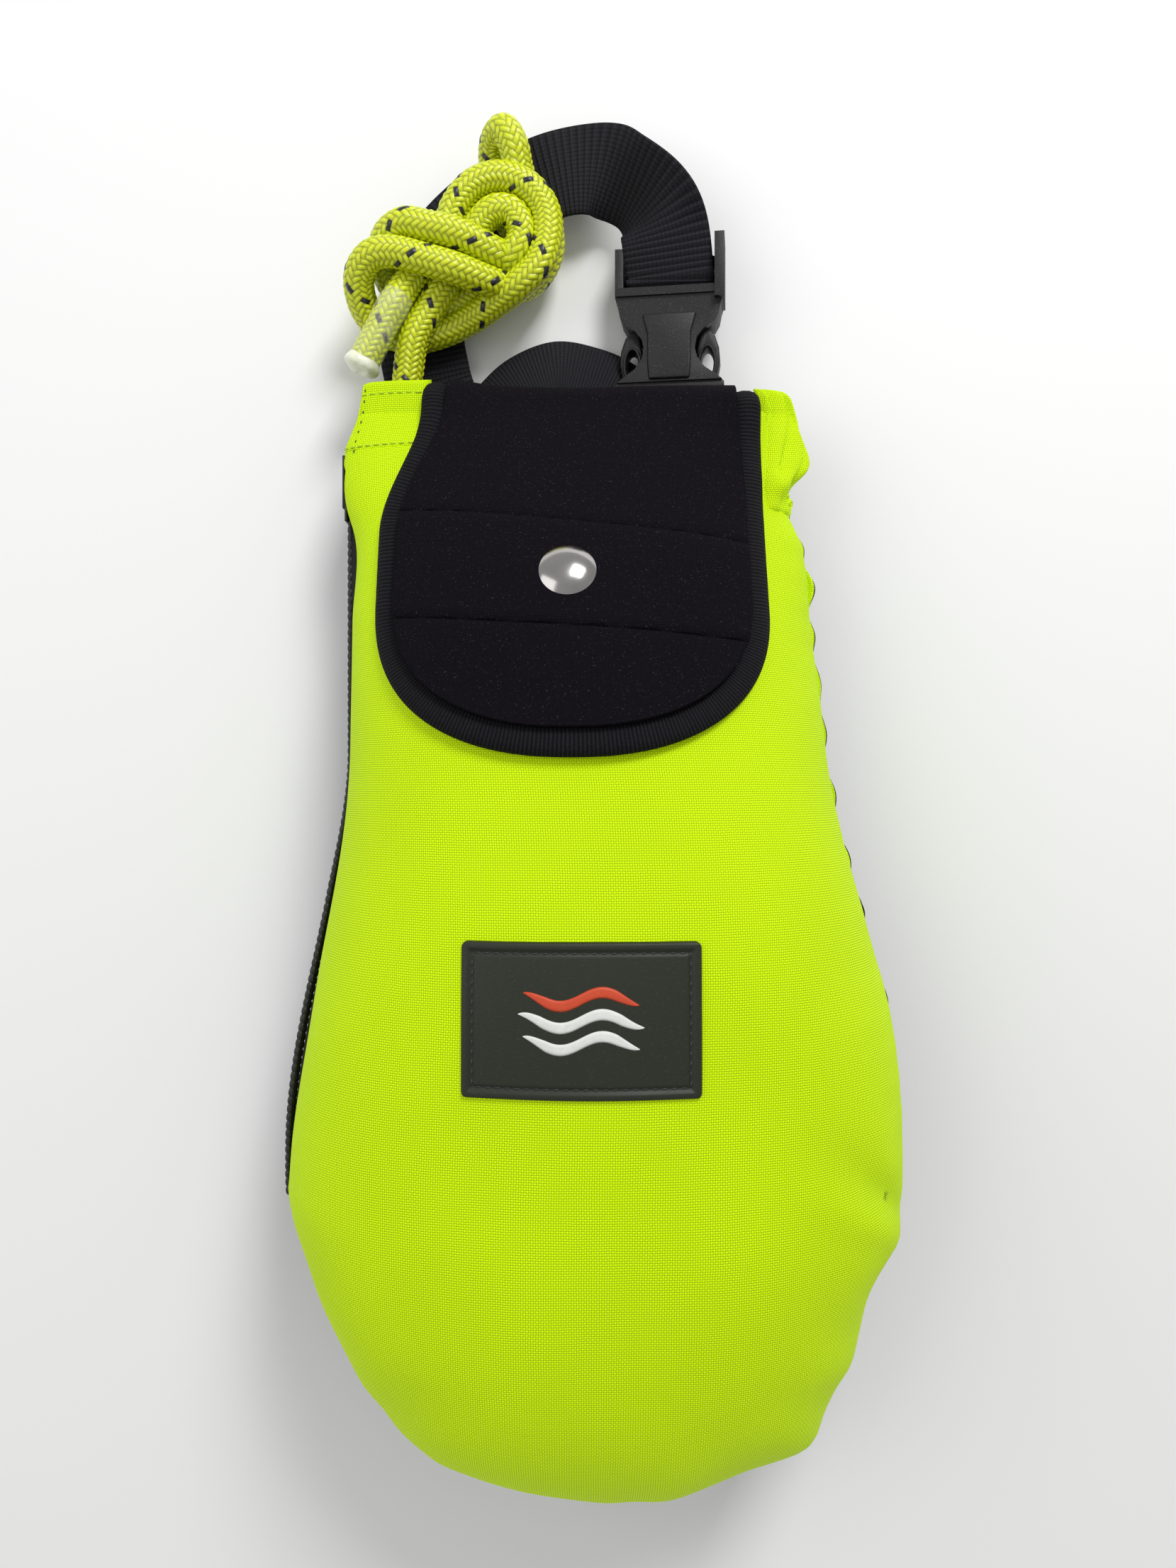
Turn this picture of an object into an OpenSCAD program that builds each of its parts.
// Throw rope bag, lying on its back.
// +Z is up and out of the bag's front, +Y runs from the belly to the mouth and the handle.
// The origin is on the flat of the back, under the middle of the belly. Millimetres.

/* [Bag] */
// Radius of the round belly, seen from the front
belly_r = 78; // [74:1:82]
// How far the middle of the belly lies below the origin
belly_drop = 40; // [36:1:44]
// Where the open mouth ends
mouth_y = 158; // [156:1:160]
// Left edge of the neck, which the zip runs along
neck_left = -63; // [-66:1:-62]
// Right edge of the bag at the mouth
neck_right = 49; // [47:1:52]
// Height of the full belly above the back
belly_h = 76; // [70:1:80]
// Height of the front panel at the mouth
mouth_h = 26; // [25:1:28]
// Thickness of the coated pack cloth with its lining
cloth_t = 1.6; // [1.2:0.1:2]

/* [Flap] */
// Width of the flap over its binding
flap_w = 96; // [90:1:98]
// Width of the flap where it folds over the mouth
flap_fold_w = 87; // [82:1:90]
// Sideways place of the middle of the flap's wide part
flap_x = -3.8; // [-5:0.2:-3]
// Where the flap's round lower edge ends
flap_end_y = 66; // [60:1:74]
// Thickness of the neoprene
flap_t = 3; // [2.5:0.1:3.4]
// Visible width of the edge binding
binding_w = 7; // [5:0.5:9]

/* [Snap] */
// Diameter of the snap's domed cap
cap_d = 16; // [14:0.5:17]
// Where the snap sits along the bag
snap_y = 108; // [102:1:112]

/* [Label] */
// Width of the rubber patch
label_w = 54; // [48:1:58]
// Height of the rubber patch
label_l = 35; // [30:1:40]

/* [Straps] */
// Width of the webbing
web_w = 25; // [23:1:26]
// Thickness of the webbing
web_t = 1.8; // [1.4:0.1:2]

/* [Buckle] */
// Width of the side-release buckle
buckle_w = 30; // [29:0.5:31]
// Thickness of the buckle's socket
buckle_h = 10; // [9.5:0.5:11]
// Sideways place of the buckle
buckle_x = 23; // [21:1:25]
// Roll of the buckle about its length
buckle_roll = 8; // [4:1:9]

/* [Rope] */
// Diameter of the braided rope
rope_d = 8; // [7:0.5:8.5]

/* [Hidden] */
$fn = 48;
LIME = "greenyellow";
BLACK = "#1c1c1f";

// ---- Shape of the bag ----

belly_y = -belly_drop;
left_swell = 13;       // how much further left the belly reaches than the neck
right_swell = 30;      // the same on the right
seam_belly_z = 31;     // height of the side seam at the belly
seam_neck_z = 22;      // and along the neck
front_power = 2.4;     // fullness of the front's cross-section
back_power = 3;        // fullness of the back's
back_flat = 1.15;      // how much of the back lies flat

function clamp(t) = min(1, max(0, t));
function ease(t) = let (c = clamp(t)) c * c * (3 - 2 * c);
function sgn(v) = v < 0 ? -1 : 1;

// 1 over the bag's whole length, falling to 0 round the bottom
function round_end(y) = y > belly_y ? 1 : sqrt(max(0, 1 - pow((belly_y - y) / belly_r, 2)));

function edge_left(y) = neck_left - left_swell * ease((70 - y) / 105);
function edge_right(y) = neck_right + right_swell * ease((150 - y) / 180);
function axis_x(y) = (edge_left(max(y, belly_y)) + edge_right(max(y, belly_y))) / 2;
function half_w(y) =
    round_end(y) * (edge_right(max(y, belly_y)) - edge_left(max(y, belly_y))) / 2;
function seam_z(y) = seam_belly_z - (seam_belly_z - seam_neck_z) * ease((y + 30) / 80);
function crown(y) =
    y > -5 ? belly_h - (belly_h - mouth_h) * pow((y + 5) / (mouth_y + 5), 2.2) : belly_h;
function rise(y) = (crown(y) - seam_z(y)) * pow(round_end(y), 0.8);

// Height of the front's outer surface over any place on the bag
function front_z(x, y) =
    let (u = min(1, abs(x - axis_x(y)) / half_w(y)))
    seam_z(y) + rise(y) * sqrt(1 - pow(u, front_power));

// A point of the front or the back, a degrees round from the middle, d inside its outer face
function front_pt(y, a, d) = [
    axis_x(y) + (half_w(y) - d) * sgn(a) * pow(abs(sin(a)), 2 / front_power),
    y,
    seam_z(y) + (rise(y) - d) * cos(a)];
function back_pt(y, a, d) =
    let (s = pow(max(0, cos(a)), 0.91) * back_flat * pow(round_end(y), 0.6))
    [axis_x(y) + (half_w(y) - d) * sgn(a) * pow(abs(sin(a)), 2 / back_power),
     y,
     seam_z(y) - (seam_z(y) - d) * min(1, s)];

// The angle at which the left side is h above or below the seam
function front_angle(y, h) = acos(clamp(h / rise(y)));
function back_angle(y, h) =
    acos(pow(clamp(h / (seam_z(y) * back_flat * pow(round_end(y), 0.6))), 1 / 0.91));

// ---- Solids from two matching grids of points ----

// Faces of a closed slab whose lower and upper faces are grids of rows by cols points
function slab_faces(rows, cols) =
    let (n = rows * cols, last = cols - 1, end = (rows - 1) * cols)
    concat(
        [for (i = [0:rows - 2], j = [0:cols - 2], k = [0, 1])
            let (p = i * cols + j)
            k == 0 ? [p, p + 1, p + cols + 1] : [p, p + cols + 1, p + cols]],
        [for (i = [0:rows - 2], j = [0:cols - 2], k = [0, 1])
            let (p = n + i * cols + j)
            k == 0 ? [p + cols + 1, p + 1, p] : [p + cols, p + cols + 1, p]],
        [for (j = [0:cols - 2], k = [0, 1])
            k == 0 ? [j, n + j, n + j + 1] : [j, n + j + 1, j + 1]],
        [for (j = [0:cols - 2], k = [0, 1])
            let (p = end + j)
            k == 0 ? [p, p + 1, n + p + 1] : [p, n + p + 1, n + p]],
        [for (i = [0:rows - 2], k = [0, 1])
            let (p = i * cols)
            k == 0 ? [p, p + cols, n + p + cols] : [p, n + p + cols, n + p]],
        [for (i = [0:rows - 2], k = [0, 1])
            let (p = i * cols + last)
            k == 0 ? [p, n + p, n + p + cols] : [p, n + p + cols, p + cols]]);

// low and high are lists of rows of points
module slab(low, high) {
    rows = len(low);
    cols = len(low[0]);
    flat = [for (r = low) for (p = r) p];
    top = [for (r = high) for (p = r) p];
    polyhedron(concat(flat, top), slab_faces(rows, cols), convexity = 6);
}

// A flat ribbon along a list of [centre, width direction, face normal]
module ribbon(stations, w, t) {
    low = [for (s = stations) [for (k = [-0.5, 0.5]) s[0] + s[1] * w * k - s[2] * t / 2]];
    high = [for (s = stations) [for (k = [-0.5, 0.5]) s[0] + s[1] * w * k + s[2] * t / 2]];
    slab(low, high);
}

function unit(v) = v / norm(v);

// A round tube swept along a list of points, with sides facets
module tube(path, r, sides) {
    n = len(path);
    dirs = [for (i = [0:n - 1]) unit(path[min(i + 1, n - 1)] - path[max(i - 1, 0)])];
    up = [0.31, 0.2, 0.93];
    pts = [for (i = [0:n - 1])
        let (a = unit(cross(up, dirs[i])), b = cross(dirs[i], a))
        for (k = [0:sides - 1])
            path[i] + r * (a * cos(360 * k / sides) + b * sin(360 * k / sides))];
    faces = concat(
        [[for (k = [0:sides - 1]) k]],
        [[for (k = [sides - 1:-1:0]) (n - 1) * sides + k]],
        [for (i = [0:n - 2], k = [0:sides - 1], h = [0, 1])
            let (p = i * sides, q = p + sides, m = (k + 1) % sides)
            h == 0 ? [p + k, q + k, q + m] : [p + k, q + m, p + m]]);
    polyhedron(pts, faces, convexity = 8);
}

// Points of a smooth curve through a list of points, with steps on each stretch
function through(p, steps) = [
    for (i = [0:len(p) - 2], k = [0:steps - 1])
        let (t = k / steps, a = p[max(i - 1, 0)], b = p[i], c = p[i + 1],
            d = p[min(i + 2, len(p) - 1)])
        0.5 * (2 * b + (c - a) * t + (2 * a - 5 * b + 4 * c - d) * t * t
            + (3 * b - a - 3 * c + d) * t * t * t),
    p[len(p) - 1]];

// ---- Bag shell ----

zip_gap = 4.6;         // the zip's slot, above and below the seam
zip_low_y = -50;
zip_high_y = 146;
bottom_y = belly_y - belly_r + 1.5;
shell_rows = 44;
shell_cols = 24;

// Stations crowd together round the bottom, where the outline turns fastest
function station(i, n) = bottom_y + (mouth_y - bottom_y) * pow(i / n, 1.35);
function slot_half(y) = (y > zip_low_y && y < zip_high_y) ? zip_gap : 0.05;

// Rows of the front's face or the back's, d inside it, from the zip's slot to the far seam
function front_grid(d) = [for (i = [0:shell_rows])
    let (y = station(i, shell_rows), a0 = front_angle(y, slot_half(y)))
    [for (j = [0:shell_cols]) front_pt(y, -a0 + (a0 + 90) * j / shell_cols, d)]];
function back_grid(d) = [for (i = [0:shell_rows])
    let (y = station(i, shell_rows), a0 = back_angle(y, slot_half(y)))
    [for (j = [0:shell_cols]) back_pt(y, -a0 + (a0 + 90) * j / shell_cols, d)]];

module front_panel() {
    color(LIME) difference() {
        slab(front_grid(cloth_t), front_grid(0));
        at_snap()
            cylinder(r = stud_pin_r + 0.1, h = 12, center = true);
    }
}

module back_panel() {
    color(BLACK) slab(back_grid(0), back_grid(cloth_t));
}

// A strip of folded cloth laid on the front, between two angles and two lengths
function strip_grid(y0, y1, a, rows, d) = [for (i = [0:rows])
    [for (j = [0:6]) front_pt(y0 + (y1 - y0) * i / rows, a[0] + (a[1] - a[0]) * j / 6, d)]];
module front_strip(y0, y1, a, rows) {
    slab(strip_grid(y0, y1, a, rows, -hem_gap), strip_grid(y0, y1, a, rows, -hem_gap - hem_t));
}

hem_l = 18;            // depth of the folded hems at the mouth
hem_t = 1.4;
hem_gap = 0.35;        // between a curved cloth face and what is sewn over or under it
hem_left_a = [-74, -52];    // where each hem starts and ends round the front
hem_right_a = [70, 86];

module mouth_hem_left() {
    color(LIME) front_strip(mouth_y - hem_l, mouth_y, hem_left_a, 6);
}

module mouth_hem_right() {
    color(LIME) front_strip(mouth_y - 1.6 * hem_l, mouth_y, hem_right_a, 8);
}

// Strip of webbing across the inside of the back hem, which the straps are sewn to
hem_strap_t = 1.2;
module back_hem_strap() {
    color(BLACK)
        translate([-42, mouth_y - 21, cloth_t + hem_gap])
            cube([70, 20, hem_strap_t]);
}

// Closed-cell foam that keeps the bag afloat, flat against the back
module float_pad() {
    color("dimgray")
        translate([0, 0, cloth_t + 0.05])
            linear_extrude(height = 4)
                hull() {
                    translate([1.5, -44])
                        circle(r = 42);
                    translate([-4, 78])
                        circle(r = 26);
                }
}

// Webbing loop inside the bottom, which holds the rope's inner end
anchor_y = -94;
anchor_z = 30;
module anchor_loop() {
    color(BLACK)
        translate([1.5, anchor_y, anchor_z])
            rotate([90, 0, 90])
                linear_extrude(height = 20, center = true)
                    difference() {
                        circle(d = 15);
                        circle(d = 11.8);
                    }
}

// ---- Zip ----

coil_r = 0.9;
coil_pitch = 1.5;      // from the seam to each row's middle
coil_depth = 0.1;      // from the bag's outer face to the rows' middle
coil_top = coil_pitch + coil_r;
coil_y0 = -46;
tape_w = 9;
tape_t = 0.6;
slider_y = 134;
slider_l = 9;
plate_t = 1;
plate_gap = 0.1;       // between each row and the slider's plates
outer_half = 3.3;      // half the height of the slider's outer plate
inner_half = 2.3;      // and of its inner one, which stays clear of the tapes

function zip_rows(side, y0, y1, n) = [for (i = [0:n])
    let (y = y0 + (y1 - y0) * i / n)
    [axis_x(y) - half_w(y) + coil_depth, y, seam_z(y) + side * coil_pitch]];

module zip_coil(side) {
    color(BLACK) tube(zip_rows(side, coil_y0, slider_y + 1, 30), coil_r, 10);
}
module zip_coil_front() {
    zip_coil(1);
}
module zip_coil_back() {
    zip_coil(-1);
}

// Tapes run from the coil's outer side in under the cloth: [height over the seam, depth]
tape_end_y = 141;
tape_y = [for (i = [0:30]) coil_y0 + (tape_end_y - coil_y0) * i / 30];
tape_in = cloth_t + hem_gap;
function tape_section(y) =
    let (top = min(tape_w, 0.75 * rise(y)))
    [[coil_top + 0.12, 0.15], [3.8, tape_in], [(3.8 + top) / 2, tape_in], [top, tape_in]];
function tape_grid(t, front) = [for (y = tape_y) [for (p = tape_section(y))
    front ? front_pt(y, -front_angle(y, p[0]), p[1] + t)
    : back_pt(y, -back_angle(y, p[0]), p[1] + t)]];
module zip_tape_front() {
    color(BLACK) slab(tape_grid(tape_t, true), tape_grid(0, true));
}
module zip_tape_back() {
    color(BLACK) slab(tape_grid(0, false), tape_grid(tape_t, false));
}

module zip_top_stops() {
    color(BLACK)
        for (side = [-1, 1])
            translate([neck_left + coil_depth, slider_y + slider_l / 2 + 2,
                    seam_neck_z + side * coil_pitch])
                cube([1.9, 2.4, 1.6], center = true);
}
module zip_bottom_stop() {
    y = coil_y0 - 1.3;
    color("gray")
        translate([axis_x(y) - half_w(y) + coil_depth, y, seam_z(y)])
            cube([2.2, 2.2, 4.6], center = true);
}

// Two plates joined by a thin post that runs between the two rows
slider_x0 = neck_left + coil_depth - coil_r - plate_gap - plate_t;
slider_x1 = neck_left + coil_depth + coil_r + plate_gap;
tab_pin_x = slider_x0 - 0.8;
tab_pin_r = 0.5;
module zip_slider() {
    post_w = 0.7;
    post_l = 2.2;
    flange_d = 1.6;
    flange_z = coil_top + 0.2;
    y0 = slider_y - slider_l / 2;
    color(BLACK) union() {
        translate([slider_x0, y0, seam_neck_z - outer_half])
            cube([plate_t, slider_l, 2 * outer_half]);
        translate([slider_x1, y0, seam_neck_z - inner_half])
            cube([plate_t, slider_l, 2 * inner_half]);
        translate([slider_x0 + 0.4, y0 + slider_l - post_l, seam_neck_z - post_w / 2])
            cube([slider_x1 - slider_x0, post_l, post_w]);
        for (z = [seam_neck_z + flange_z, seam_neck_z - outer_half])
            translate([slider_x0, y0, z])
                cube([flange_d, slider_l - 3, outer_half - flange_z]);
        // Bridge that carries the pull tab's pin
        for (s = [-1, 1])
            translate([tab_pin_x - 0.7, slider_y - 1.1, seam_neck_z + s * 2.6 - 0.55])
                cube([slider_x0 - tab_pin_x + 0.9, 2.2, 1.1]);
        translate([tab_pin_x, slider_y, seam_neck_z])
            cylinder(r = tab_pin_r, h = 5, center = true);
    }
}

tab_l = 13;
tab_t = 1.5;
module zip_pull_tab() {
    color(BLACK) difference() {
        hull() {
            translate([tab_pin_x, slider_y, seam_neck_z])
                cylinder(r = tab_t / 2, h = 3.4, center = true, $fn = 32);
            translate([tab_pin_x, slider_y + tab_l, seam_neck_z])
                cube([tab_t - 0.4, 2, 5], center = true);
        }
        translate([tab_pin_x, slider_y, seam_neck_z])
            cylinder(r = tab_pin_r + 0.06, h = 8, center = true);
    }
}

// ---- Flap ----

fold_y = mouth_y - 0.5;      // middle of the fold, which the flap turns about
fold_z = 20.7;
fold_r = 5.8;
flap_gap = 0.8;
flap_side_y = 104;           // where the straight sides turn into the round end
flap_rows = 30;
flap_cols = 14;
fold_steps = 5;
fold_from = -20;
fold_to = 70;

// The flap's middle line and its outline, pulled in by inset. Its left side slants towards
// the fold and its right side is nearly straight.
fold_shift = 4.2;
widening_l = 30;
function flap_mid(y) = flap_x + fold_shift * (1 - ease((fold_y - y) / widening_l));
function flap_side_w(y, inset) =
    (flap_fold_w + (flap_w - flap_fold_w) * ease((fold_y - y) / widening_l)) / 2 - inset;
function flap_half(y, inset) =
    y > flap_side_y ? flap_side_w(y, inset)
    : let (t = (flap_side_y - y) / (flap_side_y - flap_end_y - inset))
        flap_side_w(y, inset) * pow(max(0, 1 - pow(t, 2.3)), 1 / 2.3);

// Rows of the flap run down the front, closer together where the end is round
function flap_y(i, inset) =
    let (t = i / flap_rows, e = flap_end_y + inset + 0.15)
    fold_y - 3 - (fold_y - 3 - e) * (1 - pow(1 - t, 1.8));

// The flap's surface: round the fold first, then along the front
function fold_pt(x, k, lift) =
    let (a = fold_from + (fold_to - fold_from) * k / fold_steps, r = fold_r + lift)
    [x, fold_y + r * cos(a), fold_z + r * sin(a)];
function lay_pt(x, y, lift) = [x, y, front_z(x, y) + flap_gap + lift];

function flap_grid(inset, lift) = concat(
    [for (k = [0:fold_steps]) [for (j = [0:flap_cols])
        fold_pt(flap_mid(fold_y) + flap_half(fold_y, inset) * (2 * j / flap_cols - 1), k, lift)]],
    [for (i = [1:flap_rows]) let (y = flap_y(i, inset)) [for (j = [0:flap_cols])
        lay_pt(flap_mid(y) + flap_half(y, inset) * (2 * j / flap_cols - 1), y, lift)]]);

module flap_panel() {
    color(BLACK) difference() {
        slab(flap_grid(binding_w, 0), flap_grid(binding_w, flap_t));
        at_snap()
            cylinder(d = snap_hole_d, h = 20, center = true);
    }
}

// The band between the flap's outline and the panel, a little thicker than the panel
function band_side(side, lift) = concat(
    [for (k = [0:fold_steps]) [for (inset = side < 0 ? [0, binding_w] : [binding_w, 0])
        fold_pt(flap_mid(fold_y) + side * flap_half(fold_y, inset), k, lift)]],
    [for (i = [1:flap_rows]) [for (inset = side < 0 ? [0, binding_w] : [binding_w, 0])
        let (y = flap_y(i, inset))
        lay_pt(flap_mid(y) + side * flap_half(y, inset), y, lift)]]);
// Down the left side, round the end and up the right side
function whole_band(lift) =
    let (right = band_side(1, lift))
    concat(band_side(-1, lift),
        [for (i = [len(right) - 1:-1:0]) [right[i][1], right[i][0]]]);
band_over = 0.3;       // how far the binding stands out of the panel's faces
module flap_binding() {
    color(BLACK) slab(whole_band(-band_over), whole_band(flap_t + 2 * band_over));
}

// A second layer sewn on between two rows of stitches, round the snap
patch_y0 = snap_y - 12;
patch_y1 = snap_y + 12;
module flap_reinforcement() {
    w = flap_w / 2 - binding_w - 1;
    color(BLACK) difference() {
        slab(
            [for (i = [0:6]) let (y = patch_y0 + (patch_y1 - patch_y0) * i / 6)
                [for (j = [0:12]) lay_pt(flap_x + w * (j / 6 - 1), y, flap_t + 0.25)]],
            [for (i = [0:6]) let (y = patch_y0 + (patch_y1 - patch_y0) * i / 6)
                [for (j = [0:12]) lay_pt(flap_x + w * (j / 6 - 1), y, flap_t + 0.8)]]);
        at_snap()
            cylinder(d = snap_hole_d, h = 20, center = true);
    }
}

// ---- Snap ----

snap_hole_d = 12.6;
snap_x = -5;
snap_slope = atan((front_z(snap_x, snap_y - 2) - front_z(snap_x, snap_y + 2)) / 4);
stud_pin_r = 1.5;
stud_r = 2.9;
stud_h = 2.4;
socket_r = 6.1;
socket_bore_r = 4.2;   // wide enough for the stud to leave on the flap's slanting swing

// Stands on the front's surface, along its normal
module at_snap() {
    translate([snap_x, snap_y, front_z(snap_x, snap_y)])
        rotate([-snap_slope, 0, 0])
            children();
}

module snap_cap() {
    skirt = flap_gap + flap_t + 0.9;
    color("silver")
        at_snap()
            translate([0, 0, skirt])
                rotate_extrude()
                    polygon(concat(
                        [[0, 0], [cap_d / 2 - 0.4, 0]],
                        [for (a = [0:6:90]) [cap_d / 2 * cos(a), 0.5 + 2.7 * sin(a)]]));
}

module snap_socket() {
    color("silver")
        at_snap()
            translate([0, 0, flap_gap])
                rotate_extrude()
                    polygon([[socket_bore_r, 0], [socket_r, 0], [socket_r, flap_t + 0.88],
                        [0, flap_t + 0.88], [0, flap_t], [socket_bore_r, flap_t]]);
}

module snap_stud() {
    color("silver")
        at_snap()
            rotate_extrude()
                polygon([[0, 0.05], [4.8, 0.05], [4.8, 0.4], [stud_r - 0.5, 0.5],
                    [stud_r - 0.6, 1.2], [stud_r, 1.7], [stud_r - 0.3, stud_h], [0, stud_h]]);
}

// Washer inside the bag, with the pin that rivets the stud on
module snap_post() {
    color("silver")
        at_snap()
            translate([0, 0, -cloth_t - 0.9])
                rotate_extrude()
                    polygon([[0, 0], [5.5, 0], [5.5, 0.7], [stud_pin_r, 0.8],
                        [stud_pin_r, cloth_t + 0.93], [0, cloth_t + 0.93]]);
}

// ---- Label ----

label_x = -1.5;
label_y = 7.5;
label_t = 1.8;
module label_patch() {
    color("#22260f") slab(
        [for (i = [0:10]) let (y = label_y + label_l * (i / 10 - 0.5))
            [for (j = [0:12]) let (x = label_x + label_w * (j / 12 - 0.5))
                [x, y, front_z(x, y) + 0.05]]],
        [for (i = [0:10]) let (y = label_y + label_l * (i / 10 - 0.5))
            [for (j = [0:12]) let (x = label_x + label_w * (j / 12 - 0.5))
                [x, y, front_z(x, y) + label_t]]]);
}

// ---- Buckle ----

buckle_z = 8;
socket_y = 168.5;      // the socket's mouth
socket_end_y = 208;    // end of its webbing frame
wall = 2;
cavity_w = buckle_w - 2 * wall;
cavity_h = buckle_h - 2 * wall;
cavity_end_y = 188;
frame_y = 192;         // where the webbing frame begins
bar_y = 201;
bar_r = 1.8;
window_y = 179;        // middle of the release windows
window_r = 8;
plug_y = 163;
plug_end_y = 168.2;
plug_h = 6.4;
plug_bar_r = 1;
plug_slot_y = 166.9;    // far side of the slot that the strap goes through
arm_h = 5;

module at_buckle() {
    translate([buckle_x, 0, buckle_z])
        rotate([0, -buckle_roll, 0])
            children();
}

// A block between two lengths, w wide and h high about the buckle's middle line
module block(y0, y1, w, h) {
    translate([-w / 2, y0, -h / 2])
        cube([w, y1 - y0, h]);
}

module buckle_socket() {
    color(BLACK)
        at_buckle()
            union() {
                difference() {
                    block(socket_y, socket_end_y, buckle_w, buckle_h);
                    block(socket_y - 1, cavity_end_y, cavity_w, cavity_h);
                    block(frame_y, socket_end_y + 1, cavity_w, buckle_h + 2);
                    for (side = [-1, 1])
                        translate([side * (buckle_w / 2 + 4.5), window_y, 0])
                            cylinder(r = window_r, h = buckle_h + 2, center = true);
                }
                translate([0, bar_y, 0])
                    rotate([0, 90, 0])
                        cylinder(r = bar_r, h = cavity_w + 1, center = true);
            }
}

module buckle_plug() {
    color(BLACK)
        at_buckle()
            union() {
                difference() {
                    block(plug_y, plug_end_y, buckle_w - 2, plug_h);
                    block(plug_y - 1, plug_slot_y, web_w + 0.6, plug_h + 1);
                }
                translate([0, plug_y + plug_bar_r, 0])
                    rotate([0, 90, 0])
                        cylinder(r = plug_bar_r, h = buckle_w - 3, center = true);
                block(plug_end_y - 0.5, 184, 3.6, cavity_h - 1.6);
            }
}

// Springy arm with the pad that the finger presses, seen from above
module release_arm(side) {
    color(BLACK)
        at_buckle()
            mirror([side < 0 ? 1 : 0, 0, 0])
                difference() {
                    translate([0, 0, -arm_h / 2])
                        linear_extrude(height = arm_h)
                            polygon([[8.4, plug_end_y + 0.3], [10.9, plug_end_y + 0.3],
                                [11.6, 172.4], [13.1, 174.9], [14.4, 177], [14.7, 179.5],
                                [14, 181.6], [12.6, 183.9], [10.8, 186], [9.2, 186.2],
                                [8.6, 184.6], [9.8, 182.4], [10.2, 179], [9.6, 175.4],
                                [8.6, 172.4]]);
                    for (y = [-1.6, 1.6])
                        translate([12.3, window_y + 0.3 + y, 0])
                            cylinder(r = 1.2, h = 12, center = true);
                    translate([12.3 - 1.2, window_y + 0.3 - 1.6, -6])
                        cube([2.4, 3.2, 12]);
                }
}
module release_arm_left() {
    release_arm(-1);
}
module release_arm_right() {
    release_arm(1);
}

// ---- Webbing ----

// A place, width direction and face normal in the buckle's own frame, turned into the bag's
function buckle_dir(v) = [
    v[0] * cos(buckle_roll) - v[2] * sin(buckle_roll),
    v[1],
    v[0] * sin(buckle_roll) + v[2] * cos(buckle_roll)];
function buckle_pt(p) = [buckle_x, 0, buckle_z] + buckle_dir(p);

// Round the socket's bar, from its upper side to its lower side
wrap_r = bar_r + 0.35 + web_t / 2;
bar_wrap = [for (a = [90:20:270])
    let (n = buckle_dir([0, cos(a), sin(a)]))
    [buckle_pt([0, bar_y, 0]) + wrap_r * n, buckle_dir([1, 0, 0]), n]];

module handle_webbing() {
    up = [0, 0, 1];
    color(BLACK) ribbon(concat(
        [[[-40, mouth_y - 18, 5.7], unit([1, 0, -0.11]), unit([0.11, 0, 1])],
         [[-40.5, mouth_y + 2, 5.7], unit([1, 0, -0.11]), unit([0.11, 0, 1])],
         [[-44, 178, 3.6], unit([1, 0.1, 0]), up],
         [[-45, 194, 3], unit([1, -0.1, 0]), up],
         [[-40, 210, 3], unit([1, -0.65, 0]), up],
         [[-27, 223, 3.8], unit([0.6, -1, 0]), up],
         [[-10, 230, 6.4], unit([0.1, -1, 0.05]), up],
         [[6, 228.5, 9.6], unit([-0.35, -1, -0.05]), up],
         [[17.5, 221, 12], unit([-1, -0.8, -0.1]), up],
         [[22.4, 211, 12.2], buckle_dir([-1, -0.15, 0]), buckle_dir([0, 0.1, 1])]],
        [for (s = bar_wrap) [s[0], -s[1], s[2]]],
        [[buckle_pt([0, 208, -wrap_r]), buckle_dir([-1, 0, 0]), buckle_dir([0, 0, -1])]]),
        web_w - 0.8, web_t);
}

// Finer webbing from the back hem, round the plug's bar and back to the flap
strap_t = 1.2;
plug_wrap_r = plug_bar_r + 0.2 + strap_t / 2;
plug_wrap = [for (a = [-90:30:90])
    let (n = buckle_dir([0, cos(a), sin(a)]))
    [buckle_pt([0, plug_y + plug_bar_r, 0]) + plug_wrap_r * n, buckle_dir([1, 0, 0]), n]];
module buckle_strap() {
    z = cloth_t + hem_gap + hem_strap_t + 0.05 + strap_t / 2;
    down = [0, 0, -1];
    color(BLACK) ribbon(concat(
        [[[buckle_x - 8, mouth_y - 18, z], [1, 0, 0], down],
         [[buckle_x - 6, mouth_y, z + 0.2], [1, 0, 0], down]],
        plug_wrap,
        [[buckle_pt([-0.5, plug_y - 2.5, 1.7]), buckle_dir([1, 0, 0]), buckle_dir([0, 0, 1])]]),
        web_w - 1, strap_t);
}

// ---- Rope ----

// The stretch that runs up the neck and out of the mouth to the knot
LINE = [[-26, 96, 27], [-34, 118, 23], [-42, 138, 15], [-47.8, 154, 11.8], [-49.8, 166, 11.4],
    [-50.5, 176, 11.6], [-49.2, 186, 11.8]];
// The small loop left standing out of the knot's far side
BIGHT = [[-20, 218, 15], [-19.5, 230, 16], [-23, 240, 15], [-29, 241, 12], [-32, 233, 10],
    [-32, 222, 10]];
// The tail, which comes out over the knot and points back at the bag
TAIL_FROM = [-49, 196, 20];
TAIL_TO = [-61, 174, 18];
end_l = 3.4;

module rope_line() {
    color(LIME) tube(through(LINE, 3), rope_d / 2, 10);
}
module rope_bight_solid() {
    tube(through(BIGHT, 3), rope_d / 2, 10);
}

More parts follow.
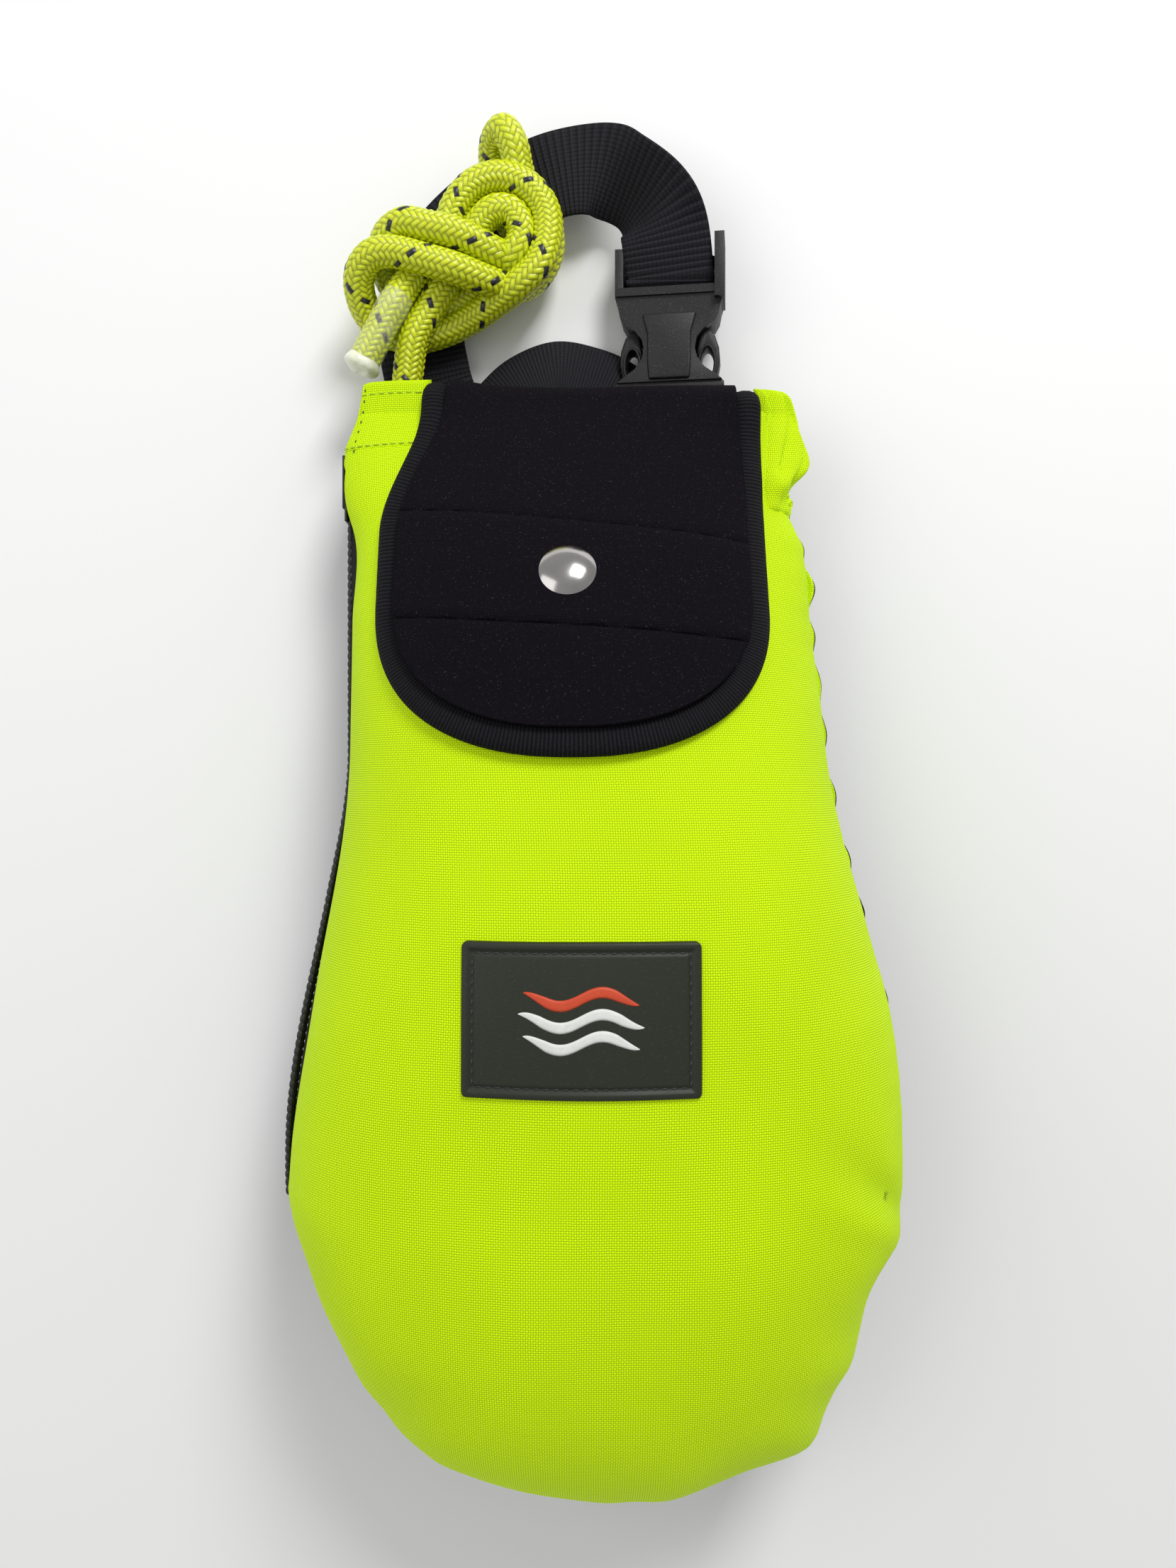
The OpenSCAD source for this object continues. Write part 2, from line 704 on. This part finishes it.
// The knot's outer shape, with its loop
module rope_knot() {
    color(LIME) union() {
        hull()
            for (p = [[-55, 198, 14], [-44, 191.5, 14], [-28, 198, 14], [-17, 212, 14],
                    [-28, 221, 14], [-46, 210, 14]])
                translate(p)
                    sphere(r = 8.2, $fn = 24);
        rope_bight_solid();
    }
}

// Stands where the tail leaves the knot, +Z along the tail
module along_tail() {
    d = unit(TAIL_TO - TAIL_FROM);
    translate(TAIL_FROM)
        rotate([0, acos(d[2]), atan2(d[1], d[0])])
            children();
}
tail_l = norm(TAIL_TO - TAIL_FROM);
tail_start = 6;
module rope_tail() {
    color(LIME)
        along_tail()
            translate([0, 0, tail_start])
                cylinder(d = rope_d, h = tail_l - tail_start);
}
module end_sleeve() {
    color("khaki")
        along_tail()
            translate([0, 0, tail_start + 2])
                difference() {
                    cylinder(d = rope_d + 1.2, h = tail_l - tail_start - 2);
                    translate([0, 0, -1])
                        cylinder(d = rope_d + 0.1, h = tail_l);
                }
}
module rope_end() {
    color("ivory")
        along_tail()
            translate([0, 0, tail_l])
                rotate_extrude()
                    polygon([[0, 0.02], [rope_d / 2 + 0.4, 0.02], [rope_d / 2 + 0.4, 1.4],
                        [rope_d / 2 - 0.6, 2.8], [rope_d / 4, end_l], [0, end_l]]);
}

// The rest of the rope, stuffed into the belly
pile_inset = 5.6;
pile_y0 = -82;
pile_y1 = 100;
pad_top = cloth_t + 4.6;
module rope_pile() {
    color(LIME) slab(
        [for (i = [0:16]) let (y = pile_y0 + (pile_y1 - pile_y0) * i / 16)
            [for (j = [-8:8]) let (p = back_pt(y, j * 10.4, pile_inset))
                [p[0], p[1], max(p[2], pad_top)]]],
        [for (i = [0:16]) let (y = pile_y0 + (pile_y1 - pile_y0) * i / 16)
            [for (j = [-8:8]) front_pt(y, j * 10.4, pile_inset)]]);
}

// Rope through the anchor loop, with the knot that closes it
module anchor_knot() {
    r = rope_d / 2;
    x0 = 1.5;
    hitch_y = anchor_y + 11;
    color(LIME)
        union() {
            translate([x0, anchor_y, anchor_z])
                rotate([0, 90, 0])
                    cylinder(r = r, h = 32, center = true);
            for (s = [-1, 1])
                translate([x0 + s * 16, anchor_y, anchor_z]) {
                    sphere(r = r);
                    rotate([-90, 0, 0])
                        cylinder(r = r, h = hitch_y - anchor_y - 0.5);
                }
        }
}

// ---- The set ----

front_panel();
back_panel();
mouth_hem_left();
mouth_hem_right();
back_hem_strap();
float_pad();
anchor_loop();
zip_tape_front();
zip_tape_back();
zip_coil_front();
zip_coil_back();
zip_top_stops();
zip_bottom_stop();
zip_slider();
zip_pull_tab();
flap_panel();
flap_binding();
flap_reinforcement();
snap_cap();
snap_socket();
snap_stud();
snap_post();
label_patch();
handle_webbing();
buckle_strap();
buckle_plug();
release_arm_left();
release_arm_right();
buckle_socket();
rope_pile();
rope_line();
rope_knot();
rope_tail();
end_sleeve();
rope_end();
anchor_knot();
